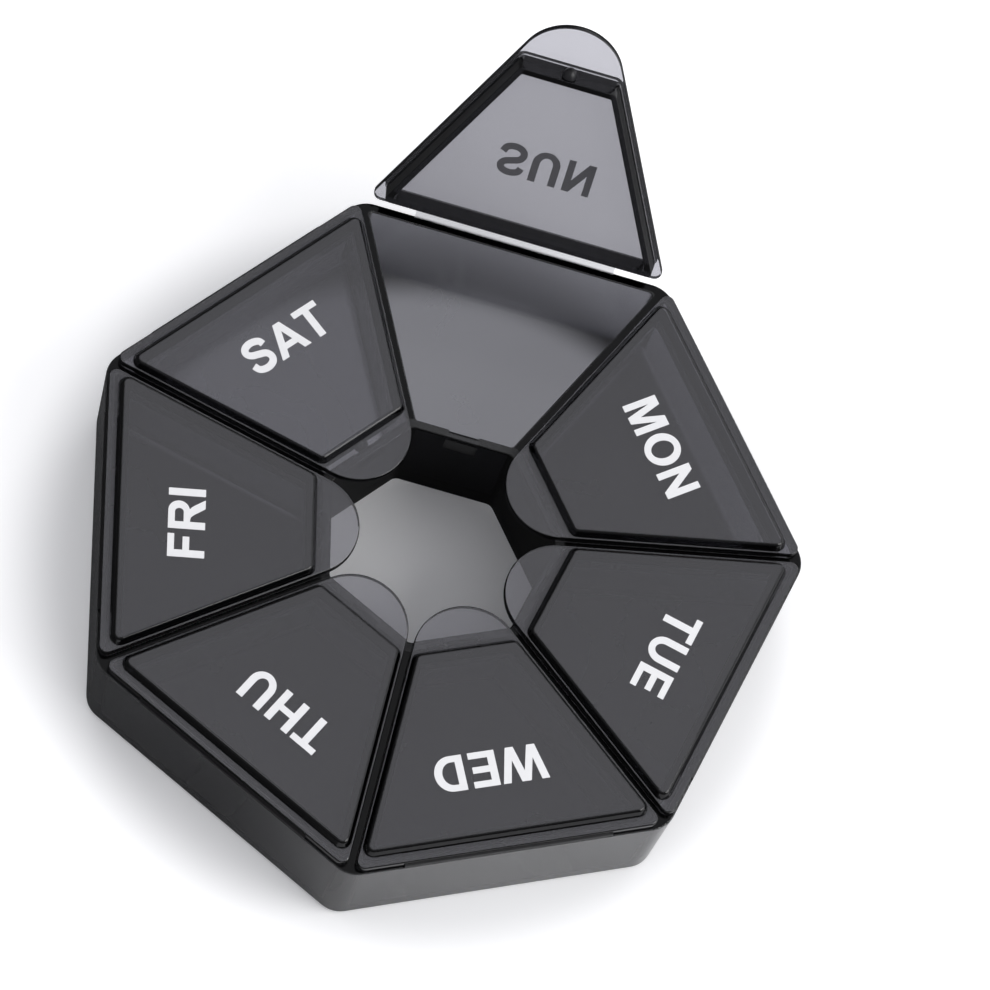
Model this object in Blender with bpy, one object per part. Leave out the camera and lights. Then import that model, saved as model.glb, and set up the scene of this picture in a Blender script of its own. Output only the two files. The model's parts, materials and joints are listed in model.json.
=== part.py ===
"""Weekly pill organizer: a seven-sided tray with a compartment, a living hinge and a snap lid for each day.

The tray stands on z = 0. Each day has its own frame: x runs along that day's hinge, y points out from
the tray's centre and z up. The first day's lid stands open, the other six are shut.
"""

import math

import bmesh
import bpy
from mathutils import Matrix, Vector

for old in list(bpy.data.objects):
    bpy.data.objects.remove(old, do_unlink=True)

mm = 0.001

# Days, clockwise from above, starting with the one whose lid is open
days = ["sun", "mon", "tue", "wed", "thu", "fri", "sat"]
open_angle = {"sun": math.radians(122)}
first_azimuth = math.radians(90)
sector = 2 * math.pi / len(days)
half_sector = sector / 2

# Tray
corner_reach = 55 * mm
tray_height = 18.5 * mm
outer_wall = 1.4 * mm
outer_draft = 0.45 * mm
divider = 1.5 * mm
core_wall = 1.4 * mm
wall_draft = 0.2 * mm
floor = 1.5 * mm
hole_apothem = 15.8 * mm
tray_corner_radius = 4.5 * mm
hole_corner_radius = 1.5 * mm
compartment_corner_radius = 1.2 * mm
floor_fillet = 1.0 * mm
foot_radius = 1.2 * mm
rim_edge = 0.2 * mm

# Latch in the wall round the centre hole
window_width = 5 * mm
window_height = 2.9 * mm
window_below_rim = 0.8 * mm
notch_width = 4.6 * mm
notch_depth = 0.6 * mm

# Hinge line, out from the tray's side and up from its rim
hinge_out = 0.2 * mm
hinge_up = 0.6 * mm

# Lid
lid_gap = 0.3 * mm
lid_side_gap = 0.52 * mm
lid_thickness = 1.2 * mm
lid_end_gap = 0.5 * mm
lid_corner_radius = 1.2 * mm
lid_edge = 0.25 * mm
tab_centre_gap = 2.6 * mm
panel_height = 1.1 * mm
panel_tip_gap = 0.9 * mm
panel_end_gap = 1.45 * mm
panel_side_gap = 0.85 * mm
panel_slope = math.radians(60)
panel_corner_radius = 1.5 * mm
panel_edge = 0.6 * mm
skirt_depth = 3.7 * mm
skirt_wall = 0.95 * mm
skirt_draft = 0.35 * mm
skirt_tip_gap = 1.1 * mm
skirt_outer_gap = 0.8 * mm
skirt_side_gap = 1.1 * mm
skirt_corner_radius = 1.0 * mm
hollow_corner_radius = 0.4 * mm
slab_below = 0.7 * mm

# Snap bump on the lid
bump_width = 2.2 * mm
bump_height = 2.2 * mm
bump_reach = 1.5 * mm
bump_below = 2.3 * mm

# Living hinge
web_length = 31 * mm
web_thickness = 0.2 * mm
web_clearance = 0.12 * mm
web_bulge = 0.55 * mm

overrun = 2 * mm
arc_steps = 4
tab_steps = 24
web_steps = 8

apothem = corner_reach * math.cos(half_sector)
hinge_radius = apothem + hinge_out
hinge_height = tray_height + hinge_up
lid_bottom = tray_height + lid_gap
lid_top = lid_bottom + lid_thickness
panel_top = lid_top + panel_height
skirt_bottom = lid_bottom - skirt_depth
slab_bottom = lid_bottom - slab_below
lid_end = hinge_radius - lid_end_gap
core_face = hole_apothem + core_wall
panel_inner = core_face + panel_tip_gap
panel_outer = lid_end - panel_end_gap
skirt_inner = core_face + skirt_tip_gap
tab_centre = core_face + tab_centre_gap
skirt_outer = apothem - outer_wall - skirt_outer_gap
tab_radius = tab_centre * math.sin(half_sector) - lid_side_gap
tab_tip = tab_centre - tab_radius


def half_width(radius, side_gap):
    """Half the width of a day's sector at a radius, less a gap square to its side line."""
    return (radius * math.sin(half_sector) - side_gap) / math.cos(half_sector)


def trapezoid(inner, outer, side_gap):
    """Corners of a sector cut off between two radii, anticlockwise."""
    near = half_width(inner, side_gap)
    far = half_width(outer, side_gap)
    return [(-near, inner), (near, inner), (far, outer), (-far, outer)]


def heptagon(reach_across):
    """Corners of a regular polygon with the tray's sides, given the distance to a side."""
    reach = reach_across / math.cos(half_sector)
    angles = [first_azimuth + half_sector + sector * k for k in range(len(days))]
    return [(reach * math.cos(a), reach * math.sin(a)) for a in angles]


def rounded(corners, radius, steps=arc_steps):
    """A convex outline with its corners turned into arcs."""
    points = []
    for k, corner in enumerate(corners):
        here = Vector(corner)
        back = (Vector(corners[k - 1]) - here).normalized()
        ahead = (Vector(corners[(k + 1) % len(corners)]) - here).normalized()
        half = back.angle(ahead) / 2
        centre = here + (back + ahead).normalized() * (radius / math.sin(half))
        start = here + back * (radius / math.tan(half)) - centre
        turn = math.pi - 2 * half
        for step in range(steps + 1):
            arm = start.copy()
            arm.rotate(Matrix.Rotation(turn * step / steps, 2))
            points.append(centre + arm)
    return points


def lid_outline(inset):
    """Flange of a lid seen from above: square end at the hinge, round finger tab at the tip."""
    end = lid_end - inset
    side_gap = lid_side_gap + inset
    far = half_width(end, side_gap)
    near = half_width(tab_centre, side_gap)
    box = [(-near, tab_centre), (near, tab_centre), (far, end), (-far, end)]
    count = arc_steps + 1
    ends = rounded(box, lid_corner_radius - inset)[2 * count:]
    radius = tab_radius - inset
    start = math.pi + half_sector
    sweep = math.pi - 2 * half_sector
    tab = []
    for step in range(tab_steps + 1):
        angle = start + sweep * step / tab_steps
        tab.append(Vector((radius * math.cos(angle), tab_centre + radius * math.sin(angle))))
    return ends + tab


def new_object(name, mesh):
    item = bpy.data.objects.new(name, mesh)
    bpy.context.scene.collection.objects.link(item)
    return item


def add_loft(shape, rings, place=None):
    """A closed body through outlines of equal length, each given as points and a height."""
    rows = []
    for outline, height in rings:
        row = []
        for point in outline:
            spot = Vector((point[0], point[1], height))
            row.append(shape.verts.new(place @ spot if place else spot))
        rows.append(row)
    for low, high in zip(rows, rows[1:]):
        for k in range(len(low)):
            n = (k + 1) % len(low)
            shape.faces.new([low[k], low[n], high[n], high[k]])
    shape.faces.new(list(reversed(rows[0])))
    shape.faces.new(rows[-1])


def add_box(shape, width, inner, outer, low, high, place=None):
    """A block across a day's sector, given its width, two radii and two heights."""
    half = width / 2
    outline = [(-half, inner), (half, inner), (half, outer), (-half, outer)]
    add_loft(shape, [(outline, low), (outline, high)], place)


def body(name, shape):
    """Turn the shape into an object with its faces pointing out."""
    bmesh.ops.recalc_face_normals(shape, faces=shape.faces)
    mesh = bpy.data.meshes.new(name)
    shape.to_mesh(mesh)
    shape.free()
    return new_object(name, mesh)


def combine(target, tool, operation):
    """Cut or join with another body, which stays in the scene as a hidden guide."""
    step = target.modifiers.new(tool.name, "BOOLEAN")
    step.operation = operation
    step.solver = "EXACT"
    step.object = tool
    tool.hide_render = True
    tool.display_type = "WIRE"


def plastic(name, colour, roughness):
    material = bpy.data.materials.new(name)
    material.use_nodes = True
    shader = material.node_tree.nodes["Principled BSDF"]
    shader.inputs["Base Color"].default_value = colour
    shader.inputs["Roughness"].default_value = roughness
    shader.inputs["Metallic"].default_value = 0
    return material


def finish(mesh, material):
    mesh.shade_smooth()
    mesh.set_sharp_from_angle(angle=math.radians(30))
    mesh.materials.clear()
    mesh.materials.append(material)


def day_turn(k):
    """Rotation about the centre that carries the first day's sector to day k."""
    return -sector * k


# Whole organizer: its origin is under the middle of its box, with the first lid open
def opened(out, up, angle):
    """A point beside the hinge line, carried round by the lid's opening angle."""
    return Vector((
        out * math.cos(angle) + up * math.sin(angle),
        -out * math.sin(angle) + up * math.cos(angle),
    ))


tip_from_hinge = tab_tip - hinge_radius
top_from_hinge = lid_top - hinge_height
open_tip = opened(tip_from_hinge, top_from_hinge, open_angle[days[0]])
corner_loss = tray_corner_radius * (1 / math.cos(half_sector) - 1)
back_reach = hinge_radius + open_tip.x
front_reach = corner_reach - corner_loss
organizer = new_object("organizer", None)
organizer.location = (0, (front_reach - back_reach) / 2, 0)

# Tray: one moulding with outer wall, floor, dividers and a wall round the centre hole
shape = bmesh.new()
foot = []
for step in range(arc_steps):
    angle = math.pi / 2 * step / arc_steps
    inset = outer_draft + foot_radius * (1 - math.sin(angle))
    foot.append((inset, foot_radius * (1 - math.cos(angle))))
levels = foot + [(outer_draft, foot_radius), (0, tray_height - rim_edge), (rim_edge, tray_height)]
rings = []
for inset, height in levels:
    radius = tray_corner_radius - inset
    rings.append((rounded(heptagon(apothem - inset), radius), height))
add_loft(shape, rings)
pill_tray = body("pill_tray", shape)

# Compartments, each with its walls drafted and a fillet round its floor
shape = bmesh.new()
for k in range(len(days)):
    place = Matrix.Rotation(day_turn(k), 4, "Z")
    levels = []
    for step in range(arc_steps):
        angle = math.pi / 2 * step / arc_steps
        shrink = wall_draft + floor_fillet * (1 - math.sin(angle))
        levels.append((shrink, floor + floor_fillet * (1 - math.cos(angle))))
    levels.append((wall_draft, floor + floor_fillet))
    levels.append((0, tray_height + overrun))
    rings = []
    for shrink, height in levels:
        draft = outer_draft if shrink > 0 else 0
        outer = apothem - outer_wall - draft - max(shrink - wall_draft, 0)
        outline = trapezoid(core_face + shrink, outer, divider / 2 + shrink)
        radius = compartment_corner_radius - max(shrink - wall_draft, 0)
        rings.append((rounded(outline, radius), height))
    add_loft(shape, rings, place)
combine(pill_tray, body("compartment_cutter", shape), "DIFFERENCE")

# Centre hole, with the same sides as the tray
shape = bmesh.new()
rings = [
    (rounded(heptagon(hole_apothem - wall_draft), hole_corner_radius), -overrun),
    (rounded(heptagon(hole_apothem), hole_corner_radius), tray_height + overrun),
]
add_loft(shape, rings)
combine(pill_tray, body("hole_cutter", shape), "DIFFERENCE")

# Latch: a window right through the inner wall, and a shallow notch that leads the bump down to it
shape = bmesh.new()
window_top = tray_height - window_below_rim
for k in range(len(days)):
    place = Matrix.Rotation(day_turn(k), 4, "Z")
    inner = hole_apothem - overrun
    outer = core_face + overrun
    add_box(shape, window_width, inner, outer, window_top - window_height, window_top, place)
combine(pill_tray, body("window_cutter", shape), "DIFFERENCE")
shape = bmesh.new()
for k in range(len(days)):
    place = Matrix.Rotation(day_turn(k), 4, "Z")
    inner = core_face - notch_depth
    low = window_top - window_height / 2
    add_box(shape, notch_width, inner, core_face + overrun, low, tray_height + overrun, place)
combine(pill_tray, body("notch_cutter", shape), "DIFFERENCE")
finish(pill_tray.data, plastic("tray_plastic", (0.045, 0.046, 0.052, 1), 0.22))

# Lid, modelled once in its day's frame with the hinge line as its origin
shape = bmesh.new()
levels = [
    (lid_edge, lid_bottom),
    (0, lid_bottom + lid_edge),
    (0, lid_top - lid_edge),
    (lid_edge, lid_top),
]
add_loft(shape, [(lid_outline(inset), height) for inset, height in levels])
lid_master = body("lid_master", shape)

# Raised panel on top of the lid, with sloping sides that round over into its flat top
shape = bmesh.new()
lid_middle = (lid_bottom + lid_top) / 2
side_rise = panel_height - panel_edge * (1 - math.cos(panel_slope))
side_run = side_rise / math.tan(panel_slope)
levels = [(0, lid_middle), (0, lid_top)]
for step in range(arc_steps + 1):
    angle = panel_slope * (1 - step / arc_steps)
    inset = side_run + panel_edge * (math.sin(panel_slope) - math.sin(angle))
    levels.append((inset, panel_top - panel_edge * (1 - math.cos(angle))))
rings = []
for inset, height in levels:
    outline = trapezoid(panel_inner + inset, panel_outer - inset, panel_side_gap + inset)
    rings.append((rounded(outline, panel_corner_radius - inset), height))
add_loft(shape, rings)
combine(lid_master, body("panel_part", shape), "UNION")

# Skirt under the lid, drafted so that it drops into its compartment
shape = bmesh.new()
root = trapezoid(skirt_inner, skirt_outer, skirt_side_gap)


def skirt_at(inset):
    return trapezoid(skirt_inner + inset, skirt_outer - inset, skirt_side_gap + inset)


lip = lid_edge / 2
add_loft(shape, [
    (rounded(skirt_at(lip), skirt_corner_radius - lip), lid_middle),
    (rounded(root, skirt_corner_radius), lid_bottom - lip),
    (rounded(skirt_at(skirt_draft), skirt_corner_radius - skirt_draft), skirt_bottom + lip),
    (rounded(skirt_at(skirt_draft + lip), skirt_corner_radius - skirt_draft - lip), skirt_bottom),
])
combine(lid_master, body("skirt_part", shape), "UNION")

# Snap bump on the skirt's face towards the centre
shape = bmesh.new()
bmesh.ops.create_uvsphere(shape, u_segments=16, v_segments=8, radius=1)
bump_face = skirt_inner + skirt_draft * bump_below / skirt_depth
stretch = Matrix.Diagonal((bump_width / 2, bump_reach, bump_height / 2, 1))
spot = Matrix.Translation((0, bump_face, lid_bottom - bump_below))
bmesh.ops.transform(shape, matrix=spot @ stretch, verts=shape.verts)
combine(lid_master, body("bump_part", shape), "UNION")

# Hollow inside the skirt, up to the underside of the panel's slab
shape = bmesh.new()
hollow = skirt_draft + skirt_wall
add_loft(shape, [
    (rounded(skirt_at(hollow - lip), hollow_corner_radius), skirt_bottom - overrun),
    (rounded(skirt_at(hollow), hollow_corner_radius), slab_bottom - lip),
    (rounded(skirt_at(hollow + lip), hollow_corner_radius - lip), slab_bottom),
])
combine(lid_master, body("hollow_cutter", shape), "DIFFERENCE")

# The finished lid's mesh, moved so that its origin is on the hinge line
bpy.context.view_layer.update()
lid_plastic = plastic("lid_plastic", (0.075, 0.078, 0.085, 1), 0.16)
lid_mesh = bpy.data.meshes.new_from_object(lid_master.evaluated_get(bpy.context.evaluated_depsgraph_get()))
lid_mesh.name = "lid"
lid_mesh.transform(Matrix.Translation((0, -hinge_radius, -hinge_height)))
finish(lid_mesh, lid_plastic)
for name in ["lid_master", "panel_part", "skirt_part", "bump_part", "hollow_cutter"]:
    bpy.data.objects.remove(bpy.data.objects[name], do_unlink=True)


def web_path(angle):
    """Middle of the hinge's thin strip, from the tray's rim to the lid's end, about the hinge line."""
    half = web_thickness / 2
    rim = Vector((-hinge_out - 2 * web_clearance, web_clearance + half - hinge_up))
    lid_out = -lid_end_gap + web_clearance
    lid_up = (lid_bottom + lid_thickness / 2 - half) - hinge_height
    end = opened(lid_out, lid_up, angle)
    out = opened(1, 0, angle)
    first = rim + Vector((web_bulge, 0))
    second = end + out * web_bulge
    path = []
    for step in range(web_steps + 1):
        t = step / web_steps
        s = 1 - t
        path.append(rim * s ** 3 + first * 3 * s * s * t + second * 3 * s * t * t + end * t ** 3)
    return path


def web_mesh(name, angle):
    """The strip as a closed band: its section swept along the hinge line."""
    path = web_path(angle)
    left = []
    right = []
    for k, point in enumerate(path):
        before = path[max(k - 1, 0)]
        after = path[min(k + 1, len(path) - 1)]
        along = (after - before).normalized()
        side = Vector((-along.y, along.x)) * web_thickness / 2
        left.append(point + side)
        right.append(point - side)
    section = left + list(reversed(right))
    shape = bmesh.new()
    rows = []
    for x in (-web_length / 2, web_length / 2):
        rows.append([shape.verts.new((x, p.x, p.y)) for p in section])
    count = len(section)
    for k in range(count):
        n = (k + 1) % count
        shape.faces.new([rows[0][k], rows[0][n], rows[1][n], rows[1][k]])
    for row in rows:
        for k in range(web_steps):
            shape.faces.new([row[k], row[k + 1], row[count - 2 - k], row[count - 1 - k]])
    bmesh.ops.recalc_face_normals(shape, faces=shape.faces)
    mesh = bpy.data.meshes.new(name)
    shape.to_mesh(mesh)
    shape.free()
    return mesh


# One lid and one living hinge a day, carried by an empty on that day's hinge line
web_plastic = plastic("web_plastic", (0.55, 0.56, 0.58, 1), 0.3)
pill_tray.parent = organizer
for cutter in ["compartment_cutter", "hole_cutter", "window_cutter", "notch_cutter"]:
    bpy.data.objects[cutter].parent = organizer
for k, day in enumerate(days):
    azimuth = first_azimuth + day_turn(k)
    hinge = new_object("hinge_" + day, None)
    hinge.parent = organizer
    hinge.location = (hinge_radius * math.cos(azimuth), hinge_radius * math.sin(azimuth), hinge_height)
    hinge.rotation_euler = (0, 0, day_turn(k))
    angle = open_angle.get(day, 0)
    lid = new_object("lid_" + day, lid_mesh)
    lid.parent = hinge
    lid.rotation_euler = (-angle, 0, 0)
    web = web_mesh("hinge_web_" + day, angle)
    finish(web, web_plastic)
    strip = new_object("hinge_web_" + day, web)
    strip.parent = hinge

bpy.context.view_layer.update()
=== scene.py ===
import json
import math
import bmesh
import bpy
from mathutils import Matrix, Vector


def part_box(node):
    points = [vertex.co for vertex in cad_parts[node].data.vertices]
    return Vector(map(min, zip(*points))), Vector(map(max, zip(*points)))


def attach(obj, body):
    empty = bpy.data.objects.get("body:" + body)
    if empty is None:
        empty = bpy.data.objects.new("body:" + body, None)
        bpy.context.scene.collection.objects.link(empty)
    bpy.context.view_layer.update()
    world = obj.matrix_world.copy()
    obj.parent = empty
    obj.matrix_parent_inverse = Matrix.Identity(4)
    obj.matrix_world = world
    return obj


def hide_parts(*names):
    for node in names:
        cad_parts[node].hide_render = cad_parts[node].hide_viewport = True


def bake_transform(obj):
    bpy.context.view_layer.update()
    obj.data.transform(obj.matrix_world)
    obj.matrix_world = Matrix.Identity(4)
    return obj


# Weekly pill organizer in smoky see-through plastic, one lid open. All lengths in metres.
mm = 0.001
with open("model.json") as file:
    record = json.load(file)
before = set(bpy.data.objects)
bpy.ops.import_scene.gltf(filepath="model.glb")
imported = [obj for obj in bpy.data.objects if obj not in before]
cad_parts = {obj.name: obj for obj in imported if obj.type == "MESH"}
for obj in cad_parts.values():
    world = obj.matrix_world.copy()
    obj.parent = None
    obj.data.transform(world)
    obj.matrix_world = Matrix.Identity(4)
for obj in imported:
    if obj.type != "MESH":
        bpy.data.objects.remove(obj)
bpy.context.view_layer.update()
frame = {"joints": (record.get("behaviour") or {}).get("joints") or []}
scene = bpy.context.scene
scene.view_settings.view_transform = "Standard"

days = ["sun", "mon", "tue", "wed", "thu", "fri", "sat"]
sector = 2 * math.pi / len(days)
halfSector = sector / 2
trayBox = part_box("pill_tray")
centre = Vector((0, trayBox[0].y, 0))

tray = {
    "reach": 55 * mm,  # centre to corner, before rounding
    "height": trayBox[1].z,
    "wall": 1.4 * mm,
    "divider": 1.5 * mm,
    "floor": 1.5 * mm,
    "draft": 0.45 * mm,  # how far the outer wall leans in at its foot
    "innerDraft": 0.2 * mm,
    "corner": 4.5 * mm,
    "foot": 1.2 * mm,  # rounding under the outer wall
    "rimEdge": 0.25 * mm,
    "hole": 15.8 * mm,  # centre to the flats of the hole
    "core": 1.4 * mm,  # wall round the hole
    "holeCorner": 1.5 * mm,
    "binCorner": 0.6 * mm,
    "leastCorner": 0.2 * mm,
    "binFillet": 1.0 * mm,
    "binEdge": 0.22 * mm,
    "floorTilt": math.radians(60),  # flatter faces than this are a compartment's floor
    "windowWidth": 5 * mm,
    "windowTop": 0.8 * mm,  # below the rim
    "windowHeight": 2.9 * mm,
    "notchWidth": 4.6 * mm,
    "notchDepth": 0.6 * mm,
    "notchLip": 0.15 * mm,  # plastic left between notch and window
    "cutterReach": 2 * mm,  # how far a cutter stands out of the plastic
    "topBand": 0.01 * mm,  # faces this near the top are the top
}
apothem = tray["reach"] * math.cos(halfSector)
cornerLoss = tray["corner"] * (1 / math.cos(halfSector) - 1)
centre.y = trayBox[0].y + tray["reach"] - cornerLoss


# Outlines lie in a day's own frame: x across the day, y out from the centre
def halfWidth(radius, sideGap):
    return (radius * math.sin(halfSector) - sideGap) / math.cos(halfSector)


def wedge(inner, outer, sideGap):
    near = halfWidth(inner, sideGap)
    far = halfWidth(outer, sideGap)
    return [(-near, inner), (near, inner), (far, outer), (-far, outer)]


def heptagon(across):
    reach = across / math.cos(halfSector)
    angles = [math.pi / 2 + halfSector + sector * k for k in range(len(days))]
    return [(reach * math.cos(a), reach * math.sin(a)) for a in angles]


# The outline with each corner rounded off in a few steps
def roundOff(corners, radius, steps=10):
    points = []
    for k, corner in enumerate(corners):
        here = Vector(corner)
        back = (Vector(corners[k - 1]) - here).normalized()
        ahead = (Vector(corners[(k + 1) % len(corners)]) - here).normalized()
        half = back.angle(ahead) / 2
        middle = here + (back + ahead).normalized() * (radius / math.sin(half))
        start = here + back * (radius / math.tan(half)) - middle
        for step in range(steps + 1):
            arm = start.copy()
            arm.rotate(Matrix.Rotation((math.pi - 2 * half) * step / steps, 2))
            points.append(middle + arm)
    return points


# Closed body through outlines of equal length at rising heights
def addLoft(shape, rings):
    rows = []
    for outline, height in rings:
        rows.append([shape.verts.new((p[0], p[1], height)) for p in outline])
    for low, high in zip(rows, rows[1:]):
        for k in range(len(low)):
            n = (k + 1) % len(low)
            shape.faces.new([low[k], low[n], high[n], high[k]])
    shape.faces.new(list(reversed(rows[0])))
    shape.faces.new(rows[-1])


cornerSteps = 8  # in the rounded corners of compartments, lids and skirts


# Sine and cosine pairs along a quarter turn
def quarter(steps=5):
    angles = [math.pi / 2 * k / steps for k in range(steps + 1)]
    return [(math.sin(angle), math.cos(angle)) for angle in angles]


def makeObject(name, data):
    made = bpy.data.objects.new(name, data)
    scene.collection.objects.link(made)
    return made


def makeBody(name, shape):
    bmesh.ops.recalc_face_normals(shape, faces=shape.faces)
    mesh = bpy.data.meshes.new(name)
    shape.to_mesh(mesh)
    shape.free()
    return makeObject(name, mesh)


def addBoolean(target, tool, operation):
    step = target.modifiers.new(tool.name, "BOOLEAN")
    step.operation = operation
    step.solver = "EXACT"
    step.material_mode = "INDEX"
    step.object = tool
    tool.hide_render = True


# The piece's mesh with its modifiers applied
def bakeMesh(piece, name):
    bpy.context.view_layer.update()
    seen = piece.evaluated_get(bpy.context.evaluated_depsgraph_get())
    mesh = bpy.data.meshes.new_from_object(seen)
    mesh.name = name
    return mesh


# Rounded edges shade smoothly while the flats stay flat
def smoothMesh(piece, angle=28):
    piece.data.shade_smooth()
    piece.data.set_sharp_from_angle(angle=math.radians(angle))
    weighted = piece.modifiers.new("flats", "WEIGHTED_NORMAL")
    weighted.keep_sharp = True
    weighted.weight = 100
    mesh = bakeMesh(piece, piece.name)
    piece.modifiers.clear()
    piece.data = mesh


# Surface kinds: how much painted shade darkens the plastic, from none through faint, half and strong
# to full, and how softly its surface scatters light
coats = {
    "clear": (0, 0),
    "faint": (0.25, 0),
    "half": (0.5, 0),
    "strong": (0.75, 0),
    "paintedShade": (1, 0),
    "roughPaintedShade": (1, 1),
    "soft": (0, 0.65),
    "softest": (0, 1),
}
coatNames = list(coats)


# One material slot a kind, so that a Boolean carries the kinds of its parts
def setCoats(piece, coatOf):
    piece.data.materials.clear()
    for name in coatNames:
        piece.data.materials.append(lidPlastic)
    for face in piece.data.polygons:
        face.material_index = coatNames.index(coatOf(face))
    return piece


# The slots become two masks that the plastic reads: painted shade and soft scatter
def markCoats(mesh):
    for place, mask in enumerate(["paintedShade", "soft"]):
        values = []
        for face in mesh.polygons:
            values += [coats[coatNames[face.material_index]][place]] * face.loop_total
        mesh.attributes.new(mask, "FLOAT", "CORNER").data.foreach_set("value", values)
    mesh.polygons.foreach_set("material_index", [0] * len(mesh.polygons))


def discard(*names):
    for name in names:
        bpy.data.objects.remove(bpy.data.objects[name], do_unlink=True)


# Node helpers: each adds one node, links or sets its inputs, and returns its output
def feed(tree, socket, value):
    if isinstance(value, bpy.types.NodeSocket):
        tree.links.new(value, socket)
    else:
        socket.default_value = value


def addMath(tree, operation, *values):
    node = tree.nodes.new("ShaderNodeMath")
    node.operation = operation
    for socket, value in zip(node.inputs, values):
        feed(tree, socket, value)
    return node.outputs[0]


def addVectorMath(tree, operation, first, second):
    node = tree.nodes.new("ShaderNodeVectorMath")
    node.operation = operation
    feed(tree, node.inputs[0], first)
    feed(tree, node.inputs[1], second)
    return node.outputs["Value"]


def addRange(tree, value, start, end, low=0, high=1, smooth=False):
    node = tree.nodes.new("ShaderNodeMapRange")
    node.interpolation_type = "SMOOTHSTEP" if smooth else "LINEAR"
    settings = {"Value": value, "From Min": start, "From Max": end, "To Min": low, "To Max": high}
    for name, setting in settings.items():
        feed(tree, node.inputs[name], setting)
    return node.outputs["Result"]


def addNoise(tree, place, scale, detail, twist=0):
    node = tree.nodes.new("ShaderNodeTexNoise")
    settings = {"Vector": place, "Scale": scale, "Detail": detail, "Distortion": twist}
    for name, setting in settings.items():
        feed(tree, node.inputs[name], setting)
    return node.outputs["Fac"]


def mixColours(tree, share, first, second):
    node = tree.nodes.new("ShaderNodeMix")
    node.data_type = "RGBA"
    for number, value in [(0, share), (6, first), (7, second)]:
        feed(tree, node.inputs[number], value)
    return node.outputs[2]


def mixValues(tree, share, first, second):
    node = tree.nodes.new("ShaderNodeMix")
    for number, value in [(0, share), (2, first), (3, second)]:
        feed(tree, node.inputs[number], value)
    return node.outputs[0]


def addBump(tree, height, strength, depth):
    node = tree.nodes.new("ShaderNodeBump")
    node.inputs["Strength"].default_value = strength
    node.inputs["Distance"].default_value = depth
    feed(tree, node.inputs["Height"], height)
    return node.outputs["Normal"]


def addMask(tree, name):
    node = tree.nodes.new("ShaderNodeAttribute")
    node.attribute_name = name
    return node.outputs["Fac"]


def newMaterial(name):
    material = bpy.data.materials.new(name)
    material.use_nodes = True
    return material, material.node_tree, material.node_tree.nodes["Principled BSDF"].inputs


# Moulded finish: handling smudges, waviness from the mould and fine hair scratches
finish = {
    "smudgeScale": 55,
    "smudgeDetail": 5,
    "smudgeTwist": 0.6,
    "smudgeSpan": (0.48, 0.75),
    "waveScale": 90,
    "waveDetail": 1,
    "hairScale": 420,
    "hairDetail": 2,
    "hairStretch": 14,
    "hairTurn": math.radians(35),
    "hairSpan": (0.62, 0.8),
}
finishInputs = ["Gloss", "Smudge", "Waviness", "Scratch"]


def makeFinishGroup():
    group = bpy.data.node_groups.new("mouldedSurface", "ShaderNodeTree")
    for name in finishInputs:
        group.interface.new_socket(name=name, in_out="INPUT", socket_type="NodeSocketFloat")
    for name in ["Roughness", "Height", "Tone"]:
        group.interface.new_socket(name=name, in_out="OUTPUT", socket_type="NodeSocketFloat")
    enter = group.nodes.new("NodeGroupInput").outputs
    leave = group.nodes.new("NodeGroupOutput").inputs
    place = group.nodes.new("ShaderNodeTexCoord").outputs["Object"]
    smudge = addNoise(group, place, finish["smudgeScale"], finish["smudgeDetail"],
                      finish["smudgeTwist"])
    patch = addMath(group, "MULTIPLY", addRange(group, smudge, *finish["smudgeSpan"]), enter["Smudge"])
    feed(group, leave["Roughness"], addMath(group, "ADD", patch, enter["Gloss"]))
    feed(group, leave["Tone"], smudge)
    wave = addNoise(group, place, finish["waveScale"], finish["waveDetail"])
    waves = addMath(group, "MULTIPLY", wave, enter["Waviness"])
    turn = group.nodes.new("ShaderNodeMapping")
    turn.inputs["Rotation"].default_value = (0, 0, finish["hairTurn"])
    turn.inputs["Scale"].default_value = (1, finish["hairStretch"], 1)
    feed(group, turn.inputs["Vector"], place)
    hair = addNoise(group, turn.outputs["Vector"], finish["hairScale"], finish["hairDetail"])
    hairs = addMath(group, "MULTIPLY", addRange(group, hair, *finish["hairSpan"]), enter["Scratch"])
    feed(group, leave["Height"], addMath(group, "SUBTRACT", waves, hairs))
    return group


finishGroup = makeFinishGroup()


# See-through plastic: its finish from the group, its darkness from how deep the plastic is and from
# painted shade on masked faces
def smokyPlastic(name, look):
    material, tree, shader = newMaterial(name)
    shader["IOR"].default_value = look["ior"]
    shader["Transmission Weight"].default_value = look["through"]
    shader["Specular IOR Level"].default_value = look["shine"]
    surface = tree.nodes.new("ShaderNodeGroup")
    surface.node_tree = finishGroup
    for key in finishInputs:
        surface.inputs[key].default_value = look[key]
    rough = addMath(tree, "MULTIPLY_ADD", addMask(tree, "soft"), look["softGloss"],
                    surface.outputs["Roughness"])
    feed(tree, shader["Roughness"], rough)
    bump = addBump(tree, surface.outputs["Height"], look["bump"], look["bumpDepth"])
    feed(tree, shader["Normal"], bump)
    tone = mixColours(tree, surface.outputs["Tone"], look["clear"], look["hazy"])
    # Base colour: the smudged tint, or near-black painted shade on masked faces
    feed(tree, shader["Base Color"], mixColours(tree, addMask(tree, "paintedShade"), tone, paintedShadeColour))
    depth = tree.nodes.new("ShaderNodeVolumeAbsorption")
    depth.inputs["Color"].default_value = look["smoke"]
    depth.inputs["Density"].default_value = look["density"]
    feed(tree, tree.nodes["Material Output"].inputs["Volume"], depth.outputs["Volume"])
    return material


# Near-black colour of the painted shade
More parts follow.
